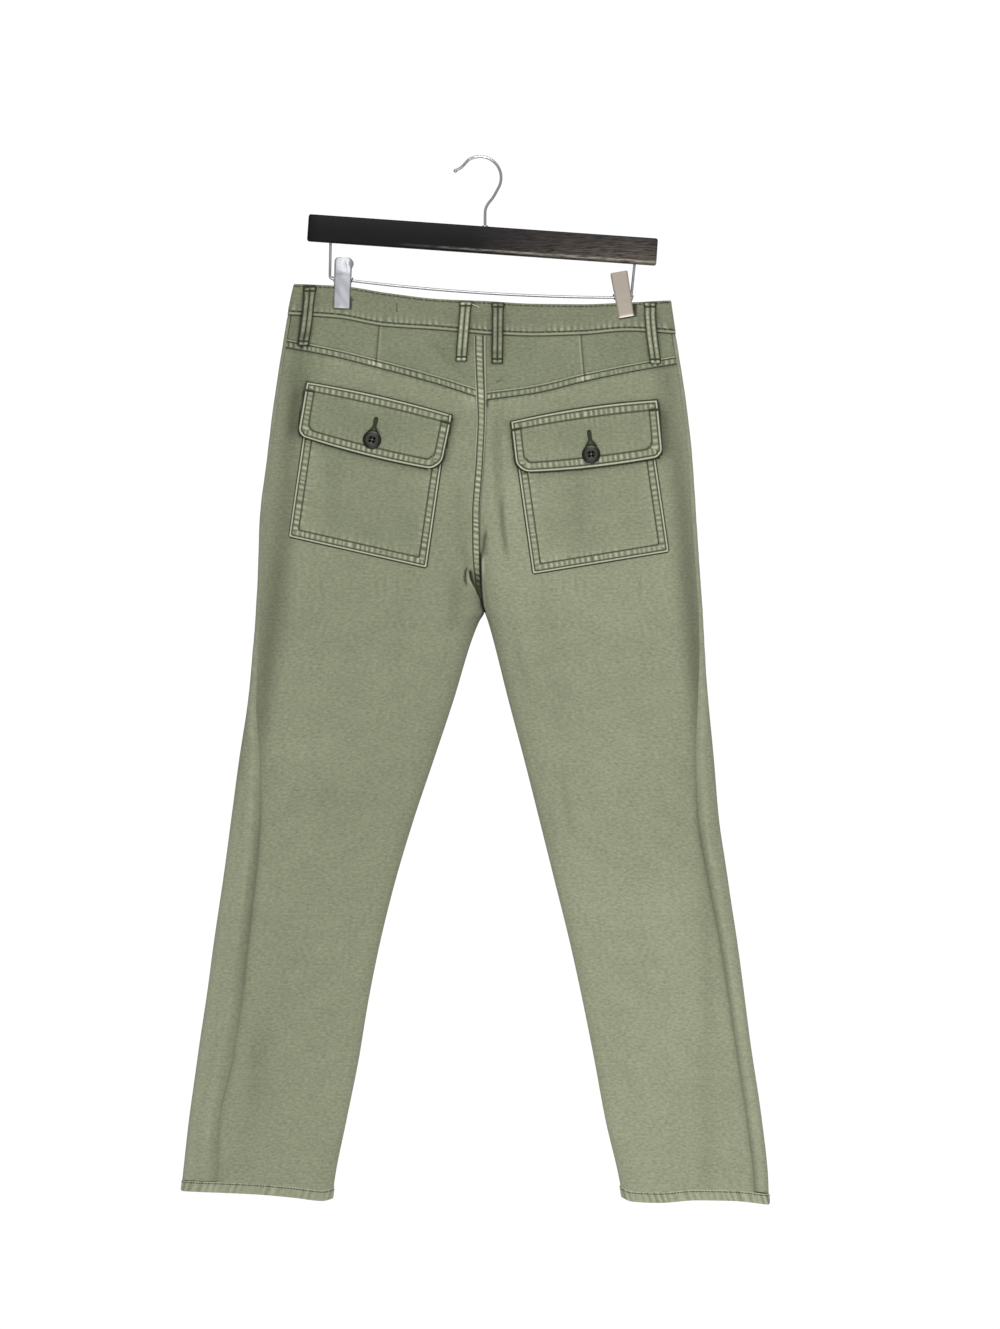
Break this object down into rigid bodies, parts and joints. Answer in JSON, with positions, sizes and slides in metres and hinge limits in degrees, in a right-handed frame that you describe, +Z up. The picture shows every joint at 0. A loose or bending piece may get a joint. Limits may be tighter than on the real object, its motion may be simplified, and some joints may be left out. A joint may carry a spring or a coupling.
{
  "type": "cotton trousers on a clip hanger",
  "caption": "Straight cotton trousers with flap pockets on the back, hung by the waistband from a wooden clip hanger.",
  "frame": {"origin": "inner crest of the hanger's hook, where it rests on a rail or peg", "axes": "+Z up; the back of the trousers faces -Y; the wearer's left is at -X"},
  "size_m": [0.6143, 0.0491, 1.0925],
  "materials": {
    "cloth": "washed olive cotton canvas, worn lighter at the seams",
    "band": "the same canvas, less faded",
    "trim": "the same canvas, for pockets, flaps, loops and fly",
    "button": "dark brown four-hole button with a raised rim",
    "wood": "black stained wood, satin",
    "chrome": "polished chrome wire",
    "clip": "plated sheet steel"
  },
  "bodies": {
    "root": {"back_panel_left_seat": "cloth", "back_panel_left_thigh": "cloth", "back_panel_left_shin": "cloth", "back_panel_right_seat": "cloth", "back_panel_right_thigh": "cloth", "back_panel_right_shin": "cloth", "front_panel_left_seat": "cloth", "front_panel_left_thigh": "cloth", "front_panel_left_shin": "cloth", "front_panel_right_seat": "cloth", "front_panel_right_thigh": "cloth", "front_panel_right_shin": "cloth", "yoke_left_outer": "cloth", "yoke_left_inner": "cloth", "yoke_right_inner": "cloth", "yoke_right_outer": "cloth", "waistband": "band", "fly_lap": "trim", "belt_loop_1": "trim", "belt_loop_2": "trim", "belt_loop_3": "trim", "belt_loop_4": "trim", "belt_loop_5": "trim", "belt_loop_6": "trim", "back_pocket_left": "trim", "back_pocket_right": "trim", "pocket_flap_left": "trim", "pocket_flap_right": "trim", "flap_button_left": "button", "flap_button_right": "button", "waist_button": "button", "hanger_bar": "wood", "hanger_hook": "chrome", "hanger_wire": "chrome", "clip_left_outer_jaw": "clip", "clip_left_inner_jaw": "clip", "clip_left_spring": "chrome", "clip_right_outer_jaw": "clip", "clip_right_inner_jaw": "clip", "clip_right_spring": "chrome"}
  },
  "joints": []
}
